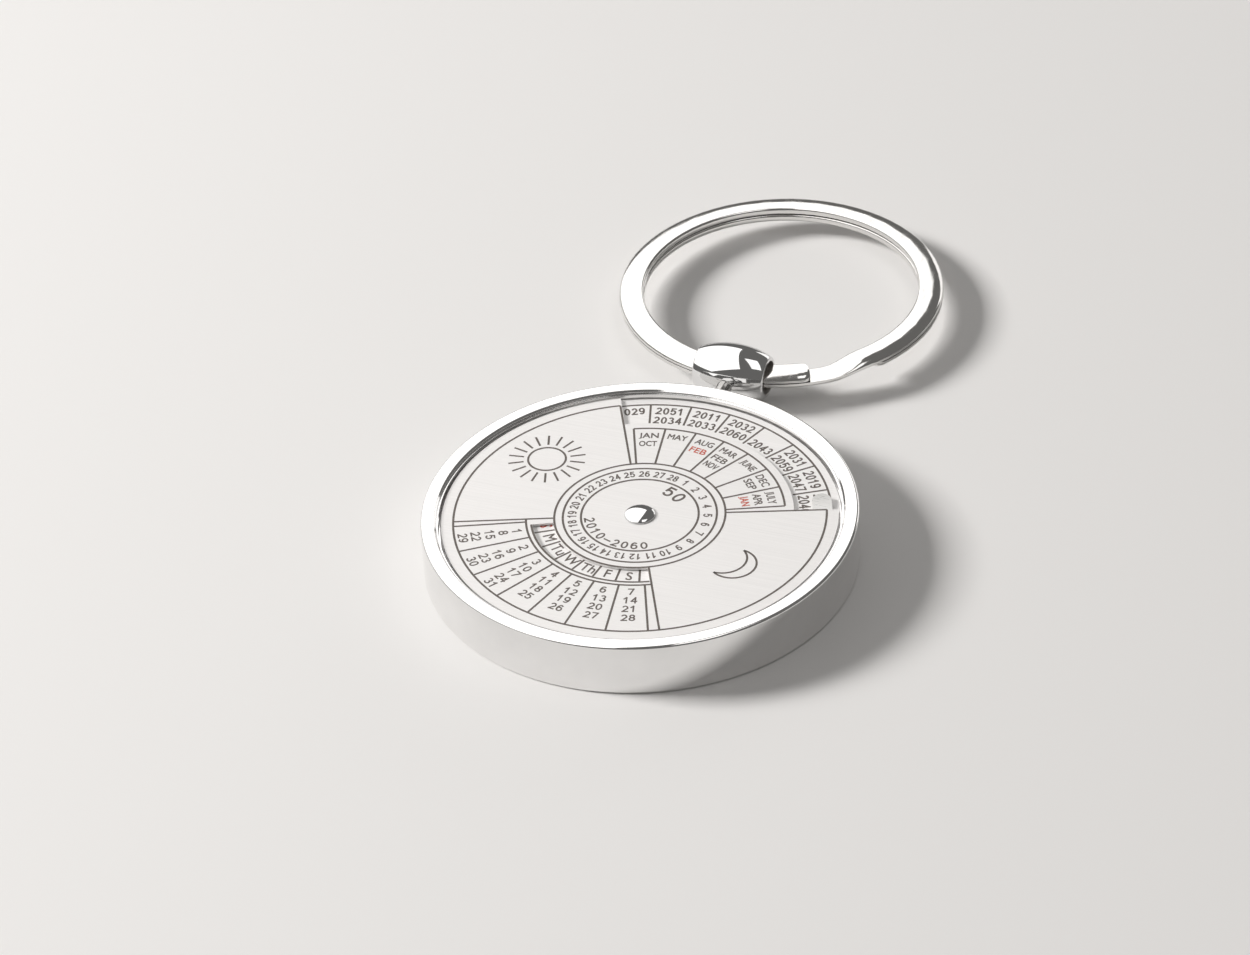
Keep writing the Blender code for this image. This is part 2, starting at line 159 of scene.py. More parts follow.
# Noise of the finishes: cells per metre, stretch along the axes, and depth of the relief
EVEN = (1.0, 1.0, 1.0)
WIPE_STRETCH = (1.0, 0.35, 1.0)
BRUSH_STRETCH = (0.010, 1.0, 1.0)
WIPE_SCALE = 900.0
TONE_SCALE = 180.0
WAVE_SCALE = 260.0
WAVE_DEPTH = 0.02 * MM
PIT_SCALE = 5200.0
PIT_SHARE = 0.6
PIT_DEPTH = 0.001 * MM
BRUSH_SCALE = 9000.0
BRUSH_DEPTH = 0.004 * MM
CLOUD_SCALE = 120.0
CLOUD_STRENGTH = 0.05
CLOUD_DEPTH = 0.05 * MM
INK_SCALE = 2600.0
INK_DEPTH = 0.002 * MM
FILM_SCALE = 3000.0
FILM_DEPTH = 0.004 * MM
PAPER_SCALE = 900.0
PAPER_DEPTH = 0.05 * MM

# Heights of the two printed faces, and of the ink over and under them
PLATE_THICKNESS = 0.22 * MM
PLATE_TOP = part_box("dial_plate")[0].z + PLATE_THICKNESS
DISC_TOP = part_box("year_disc")[1].z
PRINT_HEIGHT = 0.010 * MM
PRINT_SINK = 0.004 * MM
CROSSING_STEP = 0.002 * MM
LAYER_STEP = 0.0005 * MM

# The dial's upright direction, clockwise from +Y
DIAL_TURN = math.radians(22.8)

# Thumb tab, the only part of the plate inside its notch; its faces get a darker finish, painted shade of the
# bent-up tab
TAB_MIDDLE = 17.05 * MM
TAB_WIDTH = 1.86 * MM
TAB_MARGIN = 0.02 * MM
TAB_START = math.radians(38.0)
TAB_END = math.radians(48.2)

# Line work, radii from the centre of the print, angles clockwise from upright
AXIS = (0.0, 0.0)
LINE_WIDTH = 0.20 * MM
ARC_STEP = math.radians(2.0)
CELL_COUNT = 28
CELL = math.tau / CELL_COUNT
HUB_RADIUS = 8.0 * MM
HUB_BAND_OUTER = 7.2 * MM
HUB_BAND_INNER = 5.5 * MM
BORDER_RADIUS = 17.45 * MM
MONTH_RADIUS = 13.57 * MM
DAY_RADIUS = 10.64 * MM
MONTH_CELLS = 7
DAY_CELLS = 7
LAST_DAY = 31
SUN_LOW = math.radians(227.4)
SUN_HIGH = math.radians(311.3)
MOON_HIGH = math.radians(48.2)
MOON_LOW = math.radians(131.6)
# A dark line on the plate just outside the weekday window's outer edge: painted shadow of the window's edge
WINDOW_SHADOW_LINE = 10.17 * MM
WINDOW_START = math.radians(132.4)
WINDOW_END = math.radians(222.5)
# The year disc's print sits a little off the rivet's axis, as in the photograph
YEAR_CENTER = (0.12 * MM, 0.25 * MM)
YEAR_BORDER = 17.64 * MM
YEAR_SPOKE_START = 14.3 * MM
YEAR_FIRST = math.radians(-52.84)
WEEKDAY_CENTER = (0.12 * MM, 0.31 * MM)
WEEKDAY_FIRST = math.radians(178.1)
WEEKDAY_RADIUS = 9.1 * MM
WEEKDAY_BORDER = 10.6 * MM
WEEKDAY_SPOKE_START = 7.6 * MM

# Text: cap heights, squeeze of the widths, rows, and places round the dial
TEXT_FINENESS = 3
INK_SPREAD = 0.014 * MM
SPREAD_CORNERS = ((-1.0, -1.0), (-1.0, 1.0), (1.0, -1.0), (1.0, 1.0))
FOOT_SHARE = 0.4
PEN_SHARE = 0.163
DIGIT_WIDTH = 0.66
DIGIT_PITCH = 0.78
PEN_STEP = math.radians(20.0)
DAY_CAP = 0.93 * MM
DAY_ROWS = [row * MM for row in (11.61, 12.88, 14.15, 15.46, 16.67)]
MONTH_CAP = 0.77 * MM
MONTH_SHARE = 0.150
MONTH_ROWS = [row * MM for row in (12.43, 11.15, 9.93)]
YEAR_CAP = 1.07 * MM
YEAR_SQUEEZE = 0.84
YEAR_ROWS = [row * MM for row in (16.63, 15.16)]
WEEKDAY_CAP = 1.12 * MM
WEEKDAY_SQUEEZE = 0.90
WEEKDAY_SHIFT = math.radians(-0.4)
SUNDAY_SHIFT = math.radians(-1.0)
HUB_CAP = 0.86 * MM
HUB_SQUEEZE = 0.84
SPAN_TEXT = "50"
SPAN_CAP = 1.45 * MM
SPAN_RADIUS = 4.40 * MM
SPAN_ANGLE = math.radians(5.1)
SPAN_PITCH = math.radians(17.0)
RANGE_TEXT = "2010-2060"
RANGE_CAP = 1.02 * MM
RANGE_RADIUS = 4.72 * MM
RANGE_ANGLE = math.radians(177.2)
RANGE_PITCH = math.radians(11.1)

# Months that start on the same weekday, outer row first; the last list is for leap years
MONTH_COLUMNS = (
    (("JAN", "OCT"), ()),
    (("MAY",), ()),
    (("AUG",), ("FEB",)),
    (("MAR", "FEB", "NOV"), ()),
    (("JUNE",), ()),
    (("DEC", "SEP"), ()),
    (("JULY", "APR"), ("JAN",)),
)
# Weekday letters in the order in which they run clockwise
WEEKDAYS = ("Th", "W", "Tu", "M", "S", "S", "F")
SUNDAY = 4
# Years of the cells that the notch shows or nearly shows, outer row first
FIRST_YEARS = (
    (2029, None), (2051, 2034), (2011, 2033), (2032, 2060),
    (None, 2043), (2031, 2059), (2019, 2047), (2018, 2046),
)
YEAR_RANGE = range(2010, 2061)

# Sun and moon
SUN_CENTER = (-12.74 * MM, 0.88 * MM)
SUN_RADIUS = 1.79 * MM
RAY_START = 2.24 * MM
RAY_END = 3.68 * MM
RAY_COUNT = 18
MOON_OUTER_CENTER = (11.69 * MM, 0.0)
MOON_OUTER_RADIUS = 2.17 * MM
MOON_INNER_CENTER = (10.46 * MM, 0.0)
MOON_INNER_RADIUS = 2.21 * MM
MOON_TIP = (11.15 * MM, 2.10 * MM)


# Materials

def new_material(name, color, roughness, metallic):
    material = bpy.data.materials.new(name)
    material.use_nodes = True
    tree = material.node_tree
    shader = tree.nodes["Principled BSDF"]
    shader.inputs["Base Color"].default_value = (*color, 1.0)
    shader.inputs["Roughness"].default_value = roughness
    shader.inputs["Metallic"].default_value = metallic
    return material, tree, shader


def add_noise(tree, scale, detail=4.0, roughness=0.6, stretch=EVEN, turn=0.0):
    """Noise in the part's own coordinates, stretched along its axes, as a socket."""
    place = tree.nodes.new("ShaderNodeTexCoord")
    mapping = tree.nodes.new("ShaderNodeMapping")
    mapping.inputs["Scale"].default_value = stretch
    mapping.inputs["Rotation"].default_value = (0.0, 0.0, turn)
    noise = tree.nodes.new("ShaderNodeTexNoise")
    noise.inputs["Scale"].default_value = scale
    noise.inputs["Detail"].default_value = detail
    noise.inputs["Roughness"].default_value = roughness
    tree.links.new(place.outputs["Object"], mapping.inputs["Vector"])
    tree.links.new(mapping.outputs["Vector"], noise.inputs["Vector"])
    return noise.outputs["Fac"]


def vary(tree, source, target, low, high, from_low=0.3, from_high=0.7):
    """Drives a number socket between two values."""
    spread = tree.nodes.new("ShaderNodeMapRange")
    spread.inputs["From Min"].default_value = from_low
    spread.inputs["From Max"].default_value = from_high
    spread.inputs["To Min"].default_value = low
    spread.inputs["To Max"].default_value = high
    tree.links.new(source, spread.inputs["Value"])
    tree.links.new(spread.outputs["Result"], target)


def vary_color(tree, source, target, dark, light, from_low=0.3, from_high=0.7):
    """Drives a colour socket between two colours."""
    ramp = tree.nodes.new("ShaderNodeValToRGB")
    ramp.color_ramp.elements[0].position = from_low
    ramp.color_ramp.elements[0].color = (*dark, 1.0)
    ramp.color_ramp.elements[1].position = from_high
    ramp.color_ramp.elements[1].color = (*light, 1.0)
    tree.links.new(source, ramp.inputs["Fac"])
    tree.links.new(ramp.outputs["Color"], target)


def add_bump(tree, shader, source, strength, distance, below=None):
    """Relief on a shader, laid over the relief below it if there is one."""
    bump = tree.nodes.new("ShaderNodeBump")
    bump.inputs["Strength"].default_value = strength
    bump.inputs["Distance"].default_value = distance
    tree.links.new(source, bump.inputs["Height"])
    if below is not None:
        tree.links.new(below.outputs["Normal"], bump.inputs["Normal"])
    tree.links.new(bump.outputs["Normal"], shader.inputs["Normal"])
    return bump


def polished(name, color, roughness, wear, waviness, metallic=1.0):
    """Plated metal with faint wipe marks, small pits and a slightly wavy face."""
    material, tree, shader = new_material(name, color, roughness, metallic)
    marks = add_noise(tree, WIPE_SCALE, 6.0, 0.7, WIPE_STRETCH)
    vary(tree, marks, shader.inputs["Roughness"], roughness, roughness + wear, 0.45, 0.75)
    tone = add_noise(tree, TONE_SCALE, 3.0)
    dark = [part * 0.94 for part in color]
    vary_color(tree, tone, shader.inputs["Base Color"], dark, color)
    waves = add_noise(tree, WAVE_SCALE, 1.0)
    wavy = add_bump(tree, shader, waves, waviness, WAVE_DEPTH)
    pits = add_noise(tree, PIT_SCALE, 2.0)
    add_bump(tree, shader, pits, waviness * PIT_SHARE, PIT_DEPTH, wavy)
    return material


def brushed(name, color, roughness, metallic, turn, strength):
    """Metal brushed in one direction."""
    material, tree, shader = new_material(name, color, roughness, metallic)
    grain = add_noise(tree, BRUSH_SCALE, 5.0, 0.65, BRUSH_STRETCH, turn)
    vary(tree, grain, shader.inputs["Roughness"], roughness - 0.06, roughness + 0.10)
    dark = [part * 0.90 for part in color]
    vary_color(tree, grain, shader.inputs["Base Color"], dark, color)
    cloud = add_noise(tree, CLOUD_SCALE, 2.0)
    cloudy = add_bump(tree, shader, cloud, CLOUD_STRENGTH, CLOUD_DEPTH)
    add_bump(tree, shader, grain, strength, BRUSH_DEPTH, cloudy)
    return material


def ink(name, color):
    """Printed ink, a little thinner in places."""
    material, tree, shader = new_material(name, color, 0.5, 0.0)
    cover = add_noise(tree, INK_SCALE)
    pale = [min(1.0, part * 1.5 + 0.03) for part in color]
    vary_color(tree, cover, shader.inputs["Base Color"], color, pale, 0.45, 0.8)
    vary(tree, cover, shader.inputs["Roughness"], 0.42, 0.6)
    add_bump(tree, shader, cover, 0.15, INK_DEPTH)
    return material


def matt_film(name, color):
    """Thin plastic film of the friction washer."""
    material, tree, shader = new_material(name, color, 0.55, 0.0)
    grain = add_noise(tree, FILM_SCALE)
    vary(tree, grain, shader.inputs["Roughness"], 0.45, 0.65)
    add_bump(tree, shader, grain, 0.1, FILM_DEPTH)
    return material


def paper(name, color):
    """Plain matt paper of the studio floor."""
    material, tree, shader = new_material(name, color, 0.7, 0.0)
    grain = add_noise(tree, PAPER_SCALE)
    add_bump(tree, shader, grain, 0.03, PAPER_DEPTH)
    return material


# Meshes

def add_walls(bm, first, second):
    """Faces between two closed rows of points, from point to point."""
    for side in range(len(first)):
        after = (side + 1) % len(first)
        bm.faces.new((first[side], first[after], second[after], second[side]))


def make_item(name, bm, material):
    """Object with one material, made from a finished bmesh."""
    mesh = bpy.data.meshes.new(name)
    bm.to_mesh(mesh)
    bm.free()
    mesh.materials.append(material)
    item = bpy.data.objects.new(name, mesh)
    bpy.context.scene.collection.objects.link(item)
    return item


def smooth(mesh):
    """Smooth faces with sharp edges between those that meet at an angle."""
    mesh.shade_smooth()
    mesh.set_sharp_from_angle(angle=SMOOTH_ANGLE)


# Line work and text

def spot(x, y):
    """Point of the dial's own upright frame, in the part's frame."""
    cos, sin = math.cos(DIAL_TURN), math.sin(DIAL_TURN)
    return Vector((x * cos + y * sin, y * cos - x * sin))


def polar(radius, angle, center=AXIS):
    return spot(center[0] + radius * math.sin(angle), center[1] + radius * math.cos(angle))


def add_strip(bm, face, points, width, closed, lift=0.0):
    """Solid line of one width through points that lie close together."""
    top = PRINT_HEIGHT + lift
    section = ((-0.5, -PRINT_SINK), (0.5, -PRINT_SINK), (0.5, top), (-0.5, top))
    last = len(points) - 1
    rows = []
    for index, point in enumerate(points):
        before = points[index - 1] if closed or index > 0 else point
        after = points[(index + 1) % len(points)] if closed or index < last else point
        along = (after - before).normalized()
        across = Vector((-along.y, along.x)) * width
        rows.append([
            bm.verts.new((*(point + across * side), face + height)) for side, height in section
        ])
    for index in range(len(rows) if closed else last):
        add_walls(bm, rows[index], rows[(index + 1) % len(rows)])
    if not closed:
        bm.faces.new(rows[0])
        bm.faces.new(rows[-1])


def add_arc(bm, face, radius, start, end, center=AXIS):
    """Solid line along a circle, on a face at a given height."""
    whole = abs(end - start) > math.tau - ARC_STEP / 2.0
    steps = max(4, math.ceil(abs(end - start) / ARC_STEP))
    count = steps if whole else steps + 1
    points = [polar(radius, start + (end - start) * index / steps, center) for index in range(count)]
    add_strip(bm, face, points, LINE_WIDTH, whole)


def add_bar(bm, face, first, second, width=LINE_WIDTH, lift=0.0):
    """Solid straight line between two points of the part's frame, a little lower than arcs."""
    along = (second - first).normalized()
    across = Vector((-along.y, along.x)) * width / 2.0
    corners = (first - across, first + across, second + across, second - across)
    top = face + PRINT_HEIGHT - CROSSING_STEP + lift
    low = [bm.verts.new((*corner, face - PRINT_SINK)) for corner in corners]
    high = [bm.verts.new((*corner, top)) for corner in corners]
    bm.faces.new(low)
    bm.faces.new(high)
    add_walls(bm, low, high)


def add_spoke(bm, face, angle, start, end, center=AXIS):
    add_bar(bm, face, polar(start, angle, center), polar(end, angle, center))


def text_mesh(text):
    """Flat solid text with its foot at zero."""
    curve = bpy.data.curves.new("text", "FONT")
    curve.body = text
    curve.resolution_u = TEXT_FINENESS
    curve.extrude = 0.5
    item = bpy.data.objects.new("text", curve)
    bpy.context.scene.collection.objects.link(item)
    bpy.context.view_layer.update()
    graph = bpy.context.evaluated_depsgraph_get()
    mesh = bpy.data.meshes.new_from_object(item.evaluated_get(graph))
    bpy.data.objects.remove(item)
    bpy.data.curves.remove(curve)
    for vert in mesh.vertices:
        if vert.co.y < 0.0:
            vert.co.y *= FOOT_SHARE
    return mesh


def letter_height():
    mesh = text_mesh("H")
    height = max(vert.co.y for vert in mesh.vertices)
    bpy.data.meshes.remove(mesh)
    return height


LETTER_HEIGHT = letter_height()


def text_axes(angle, tops_out):
    """Right and up directions of text at an angle of the dial."""
    sign = 1.0 if tops_out else -1.0
    up = (polar(1.0, angle) - polar(0.0, angle)) * sign
    return Vector((up.y, -up.x)), up


def add_text(bm, face, text, radius, angle, cap, tops_out, center=AXIS, squeeze=1.0, width=0.0):
    """Text about a point of the dial, with its tops outward or inward.

    A width overrules the squeeze. Four copies, each a little off its place and over the one
    before, make the strokes as thick as spread ink.
    """
    mesh = text_mesh(text)
    across = [vert.co.x for vert in mesh.vertices]
    half = (min(across) + max(across)) / 2.0
    size = cap / LETTER_HEIGHT
    if width > 0.0:
        squeeze = width / (max(across) - min(across)) / size
    right, up = text_axes(angle, tops_out)
    middle = polar(radius, angle, center)
    letter = [vert.co.copy() for vert in mesh.vertices]
    for index, (aside, above) in enumerate(SPREAD_CORNERS):
        top = PRINT_HEIGHT + CROSSING_STEP + index * LAYER_STEP
        for vert, point in zip(mesh.vertices, letter):
            x = (point.x - half) * size * squeeze + aside * INK_SPREAD
            y = point.y * size - cap / 2.0 + above * INK_SPREAD
            flat = middle + right * x + up * y
            height = top if point.z > 0.0 else -PRINT_SINK
            vert.co = (*flat, face + height)
        bm.from_mesh(mesh)
    bpy.data.meshes.remove(mesh)


def pen_arc(x, y, wide, high, start, end):
    """Points along part of an ellipse, in degrees anticlockwise from the right."""
    first, sweep = math.radians(start), math.radians(end - start)
    steps = math.ceil(abs(sweep) / PEN_STEP)
    turns = [first + sweep * step / steps for step in range(steps + 1)]
    return [(x + wide * math.cos(turn), y + high * math.sin(turn)) for turn in turns]


# Pen strokes of each digit in a box one wide and one high, straight ones first, then curved ones
DIGIT_STROKES = {
    "0": ([], [pen_arc(0.5, 0.5, 0.5, 0.5, 0.0, 360.0)]),
    "1": ([(0.12, 0.76), (0.56, 1.0), (0.56, 0.0)], []),
    "2": ([(0.92, 0.56), (0.0, 0.0), (1.0, 0.0)], [pen_arc(0.5, 0.69, 0.47, 0.31, 165.0, -28.0)]),
    "3": ([], [pen_arc(0.46, 0.76, 0.42, 0.24, 160.0, -90.0), pen_arc(0.46, 0.26, 0.52, 0.26, 90.0, -160.0)]),
    "4": ([(0.76, 0.0), (0.76, 1.0), (0.0, 0.30), (1.0, 0.30)], []),
    "5": ([(0.92, 1.0), (0.18, 1.0), (0.05, 0.52)], [pen_arc(0.46, 0.33, 0.53, 0.33, 142.0, -158.0)]),
    "6": ([], [pen_arc(0.5, 0.31, 0.5, 0.31, 0.0, 360.0), pen_arc(0.56, 0.42, 0.56, 0.58, 50.0, 190.0)]),
    "7": ([(0.0, 1.0), (1.0, 1.0), (0.36, 0.0)], []),
    "8": ([], [pen_arc(0.5, 0.75, 0.42, 0.25, 0.0, 360.0), pen_arc(0.5, 0.26, 0.5, 0.26, 0.0, 360.0)]),
    "9": ([], [pen_arc(0.5, 0.69, 0.5, 0.31, 0.0, 360.0), pen_arc(0.44, 0.58, 0.56, 0.58, 10.0, -130.0)]),
    "-": ([(-0.1, 0.45), (1.1, 0.45)], []),
}


def add_number(bm, face, text, radius, angle, cap, tops_out, center=AXIS, squeeze=1.0):
    """Number drawn with a pen about a point of the dial, each stroke over the one before."""
    right, up = text_axes(angle, tops_out)
    place = polar(radius, angle, center)
    pen = PEN_SHARE * cap
    wide = DIGIT_WIDTH * cap * squeeze - pen
    high = cap - pen
    for index, digit in enumerate(text):
        middle = place + right * (index - (len(text) - 1) / 2.0) * DIGIT_PITCH * cap * squeeze
        straight, curved = DIGIT_STROKES[digit]
        corners = [middle + right * (x - 0.5) * wide + up * (y - 0.5) * high for x, y in straight]
        for layer, (first, second) in enumerate(zip(corners, corners[1:])):
            reach = (second - first).normalized() * pen / 2.0
            add_bar(bm, face, first - reach, second + reach, pen, layer * LAYER_STEP)
        for layer, stroke in enumerate(curved):
            points = [middle + right * (x - 0.5) * wide + up * (y - 0.5) * high for x, y in stroke]
            whole = (points[0] - points[-1]).length < CROSSING_STEP
            add_strip(bm, face, points[:-1] if whole else points, pen, whole, layer * LAYER_STEP)


def add_arc_number(bm, face, text, radius, angle, pitch, cap, tops_out):
    """Digits set one by one along a circle."""
    for index, digit in enumerate(text):
        step = (index - (len(text) - 1) / 2.0) * pitch
        turn = angle + step if tops_out else angle - step
        add_number(bm, face, digit, radius, turn, cap, tops_out)


def finish_print(name, bm, material, body):
    bmesh.ops.remove_doubles(bm, verts=bm.verts, dist=MERGE_DISTANCE)
    bmesh.ops.recalc_face_normals(bm, faces=bm.faces)
    item = make_item(name, bm, material)
    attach(item, body)


# Prints on the dial plate, with a painted shadow line along the weekday window's outer edge

def dial_lines(material):
    bm = bmesh.new()
    for radius in (HUB_RADIUS, HUB_BAND_OUTER, HUB_BAND_INNER):
        add_arc(bm, PLATE_TOP, radius, 0.0, math.tau)
    add_arc(bm, PLATE_TOP, BORDER_RADIUS, MOON_HIGH, SUN_HIGH)
    half_box = CELL * MONTH_CELLS / 2.0
    add_arc(bm, PLATE_TOP, MONTH_RADIUS, -half_box, half_box)
    for index in range(MONTH_CELLS + 1):
        add_spoke(bm, PLATE_TOP, -half_box + index * CELL, HUB_RADIUS, MONTH_RADIUS)
    for angle in (SUN_LOW, SUN_HIGH, MOON_HIGH, MOON_LOW):
        add_spoke(bm, PLATE_TOP, angle, HUB_RADIUS, BORDER_RADIUS)
    add_arc(bm, PLATE_TOP, DAY_RADIUS, MOON_LOW, SUN_LOW)
    # Painted shadow: a dark line along the weekday window's outer edge
    add_arc(bm, PLATE_TOP, WINDOW_SHADOW_LINE, WINDOW_START, WINDOW_END)
    for index in range(DAY_CELLS + 1):
        angle = math.pi + (index - DAY_CELLS / 2.0) * CELL
        add_spoke(bm, PLATE_TOP, angle, DAY_RADIUS, BORDER_RADIUS)
    finish_print("dial_lines", bm, material, "dial")


def day_numbers(material):
    bm = bmesh.new()
    for day in range(1, LAST_DAY + 1):
        row, column = divmod(day - 1, DAY_CELLS)
        angle = math.pi + ((DAY_CELLS - 1) / 2.0 - column) * CELL
        add_number(bm, PLATE_TOP, str(day), DAY_ROWS[row], angle, DAY_CAP, False)
    finish_print("day_numbers", bm, material, "dial")


def month_letters(name, leap, material):
    """Month names of plain years, or those that hold for leap years, as wide as their cell allows."""
    bm = bmesh.new()
    for column, (plain, for_leap) in enumerate(MONTH_COLUMNS):
        angle = (column - (MONTH_CELLS - 1) / 2.0) * CELL
        rows = list(enumerate(plain + for_leap))
        for row, text in rows[len(plain):] if leap else rows[:len(plain)]:
            radius = MONTH_ROWS[row]
            add_text(bm, PLATE_TOP, text, radius, angle, MONTH_CAP, True, width=MONTH_SHARE * radius)
    finish_print(name, bm, material, "dial")


def hub_numbers(material):
    """Plain numbers in the places of the hub's words."""
    bm = bmesh.new()
    middle = (HUB_BAND_INNER + HUB_BAND_OUTER) / 2.0
    for index in range(CELL_COUNT):
        number = str(index + 1)
        add_number(bm, PLATE_TOP, number, middle, index * CELL, HUB_CAP, True, squeeze=HUB_SQUEEZE)
    add_arc_number(bm, PLATE_TOP, SPAN_TEXT, SPAN_RADIUS, SPAN_ANGLE, SPAN_PITCH, SPAN_CAP, True)
    add_arc_number(bm, PLATE_TOP, RANGE_TEXT, RANGE_RADIUS, RANGE_ANGLE, RANGE_PITCH, RANGE_CAP, False)
    finish_print("hub_numbers", bm, material, "dial")


def sun_figure(material):
    bm = bmesh.new()
    add_arc(bm, PLATE_TOP, SUN_RADIUS, 0.0, math.tau, SUN_CENTER)
    for index in range(RAY_COUNT):
        angle = math.tau * index / RAY_COUNT
        add_spoke(bm, PLATE_TOP, angle, RAY_START, RAY_END, SUN_CENTER)
    finish_print("sun_figure", bm, material, "dial")


def moon_figure(material):
    bm = bmesh.new()
    for center, radius in ((MOON_OUTER_CENTER, MOON_OUTER_RADIUS), (MOON_INNER_CENTER, MOON_INNER_RADIUS)):
        tip = math.atan2(MOON_TIP[0] - center[0], MOON_TIP[1])
        add_arc(bm, PLATE_TOP, radius, tip, math.pi - tip, center)
    finish_print("moon_figure", bm, material, "dial")


# Prints on the year disc

def year_class(year):
    """Weekday of the first of January, one later in a leap year, so that it fits from March on."""
    return (calendar.weekday(year, 1, 1) + calendar.isleap(year)) % len(WEEKDAYS)


def year_cells():
    """The years of all cells: those that show, then the others by their class."""
    spare = CELL_COUNT - len(FIRST_YEARS)
    cells = [list(pair) for pair in FIRST_YEARS] + [[] for _ in range(spare)]
    shown = {year for pair in FIRST_YEARS for year in pair}
    for year in YEAR_RANGE:
        if year in shown:
            continue
        for cell in cells[-year_class(year) % len(WEEKDAYS)::len(WEEKDAYS)]:
            if len(cell) < len(YEAR_ROWS):
                cell.append(year)
                break
    return cells


def year_lines(material):
    bm = bmesh.new()
    add_arc(bm, DISC_TOP, YEAR_BORDER, 0.0, math.tau, YEAR_CENTER)
    for index in range(CELL_COUNT):
        angle = YEAR_FIRST + index * CELL
        add_spoke(bm, DISC_TOP, angle, YEAR_SPOKE_START, YEAR_BORDER, YEAR_CENTER)
        angle = WEEKDAY_FIRST + index * CELL
        add_spoke(bm, DISC_TOP, angle, WEEKDAY_SPOKE_START, WEEKDAY_BORDER, WEEKDAY_CENTER)
    finish_print("year_lines", bm, material, "case")


def year_numbers(material):
    bm = bmesh.new()
    for index, years in enumerate(year_cells()):
        angle = YEAR_FIRST + (index + 0.5) * CELL
        for radius, year in zip(YEAR_ROWS, years):
            if year is not None:
                add_number(bm, DISC_TOP, str(year), radius, angle, YEAR_CAP, True, YEAR_CENTER, YEAR_SQUEEZE)
    finish_print("year_numbers", bm, material, "case")


def weekday_letters(name, sundays, material):
    bm = bmesh.new()
    shift = SUNDAY_SHIFT if sundays else WEEKDAY_SHIFT
    for index in range(CELL_COUNT):
        day = index % len(WEEKDAYS)
        if (day == SUNDAY) == sundays:
            angle = WEEKDAY_FIRST + shift + (index - 0.5) * CELL
            add_text(
                bm, DISC_TOP, WEEKDAYS[day], WEEKDAY_RADIUS, angle, WEEKDAY_CAP, False,
                WEEKDAY_CENTER, WEEKDAY_SQUEEZE)
    finish_print(name, bm, material, "case")


# Plated pieces, turned more finely than their solids

def rounded(corners):
    """Closed outline of (across, up, radius) corners, each one rounded by its radius.

    A point close to each end of an arc keeps the flat face beside it flat.
    """
    points = []
    for index, (across, up, radius) in enumerate(corners):
        here = Vector((across, up))
        if radius == 0.0:
            points.append(here)
            continue
        before = (Vector(corners[index - 1][:2]) - here).normalized()
        after = (Vector(corners[(index + 1) % len(corners)][:2]) - here).normalized()
        half = before.angle(after) / 2.0
        middle = here + (before + after).normalized() * radius / math.sin(half)
        start = here + before * radius / math.tan(half)
        end = here + after * radius / math.tan(half)
        points.append(start + before * CORNER_HOLD)
        for step in range(CORNER_STEPS + 1):
            spoke = (start - middle).lerp(end - middle, step / CORNER_STEPS).normalized()
            points.append(middle + spoke * radius)
        points.append(end + after * CORNER_HOLD)
    return points


def turned(name, node, outline, place, material):
    """Closed outline turned about an axis and set in the place of a node."""
    bm = bmesh.new()
    rows = []
    for step in range(TURN_STEPS):
        angle = math.tau * step / TURN_STEPS
        around = Vector((math.cos(angle), math.sin(angle)))
        rows.append([
            bm.verts.new(place @ Vector((*(around * radius), height))) for radius, height in outline
        ])
    for index, row in enumerate(rows):
        add_walls(bm, row, rows[(index + 1) % len(rows)])
    bmesh.ops.remove_doubles(bm, verts=bm.verts, dist=MERGE_DISTANCE)
    bmesh.ops.delete(bm, geom=[edge for edge in bm.edges if not edge.link_faces], context="EDGES")
    bmesh.ops.recalc_face_normals(bm, faces=bm.faces)
    item = make_item(name, bm, material)
    smooth(item.data)
    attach(item, frame["nodes"][node]["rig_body"])
    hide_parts(node)
    return item


def case_shell(material):
    corners = (
        (RIVET_HOLE_RADIUS, FLOOR_HEIGHT, 0.0),
        (WELL_RADIUS, FLOOR_HEIGHT, CASE_CORNER),
        (WELL_RADIUS, CASE_HEIGHT - 2.0 * RIM_STEP, CASE_CORNER),
        (RIM_INNER_RADIUS, CASE_HEIGHT - 2.0 * RIM_STEP, CASE_CORNER),
        (RIM_INNER_RADIUS, CASE_HEIGHT - RIM_STEP, CASE_CORNER),
        (RIM_INNER_RADIUS + RIM_STEP, CASE_HEIGHT, CASE_CORNER),
        (CASE_RADIUS, CASE_HEIGHT, CASE_EDGE_ROUND),
        (CASE_RADIUS, 0.0, CASE_EDGE_ROUND),
        (BACK_RECESS_RADIUS, 0.0, CASE_CORNER),
        (BACK_RECESS_RADIUS, BACK_RECESS_DEPTH, CASE_CORNER),
        (TAIL_RECESS_RADIUS, BACK_RECESS_DEPTH, CASE_CORNER),
        (TAIL_RECESS_RADIUS, TAIL_RECESS_DEPTH, CASE_CORNER),
        (RIVET_HOLE_RADIUS, TAIL_RECESS_DEPTH, 0.0),
    )
    turned("case_shell", "calendar_case", rounded(corners), Matrix.Identity(4), material)


